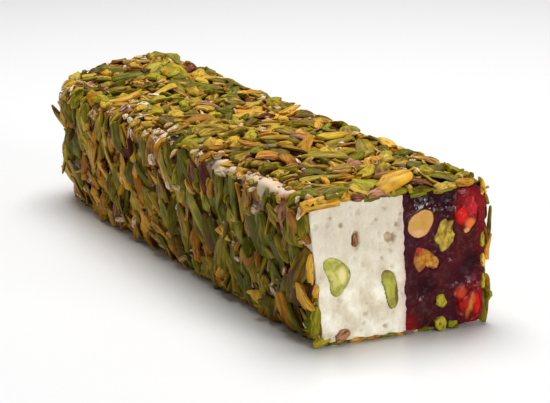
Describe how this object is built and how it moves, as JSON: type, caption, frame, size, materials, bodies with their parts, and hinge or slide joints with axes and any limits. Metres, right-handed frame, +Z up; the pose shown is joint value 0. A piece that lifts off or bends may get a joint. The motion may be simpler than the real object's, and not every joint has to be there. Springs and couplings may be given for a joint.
{
  "type": "turkish delight",
  "caption": "Long bar of Turkish delight cut to show white nougat beside red jelly with nuts and seeds, wrapped in slivered pistachio.",
  "frame": {"origin": "middle of the bar's footprint, on the surface it rests on", "axes": "+Y along the bar from its cut end to its rolled end, +Z up, +X from the nougat layer towards the jelly layer"},
  "size_m": [0.0524, 0.2014, 0.0429],
  "materials": {
    "pistachio_coat": "slivered green pistachio kernels, satin where cut, with brown skins",
    "nougat": "matt, finely porous whipped sugar",
    "jelly": "glossy dark red starch jelly, slightly see-through at the edges",
    "pistachio_kernel": "waxy cut nut, pale yellow-green with a darker rim",
    "nut_flesh": "waxy cut nut, tan to orange",
    "pomegranate_seed": "wet, translucent red"
  },
  "bodies": {
    "root": {"pistachio_coat": "pistachio_coat", "nougat_layer": "nougat", "jelly_layer": "jelly", "nougat_kernel_wide": "pistachio_kernel", "nougat_kernel_narrow": "pistachio_kernel", "jelly_kernel_leaf": "pistachio_kernel", "jelly_nut_round": "nut_flesh", "jelly_nut_broken": "nut_flesh", "jelly_seed_upper": "pomegranate_seed", "jelly_seed_lower": "pomegranate_seed"}
  },
  "joints": []
}
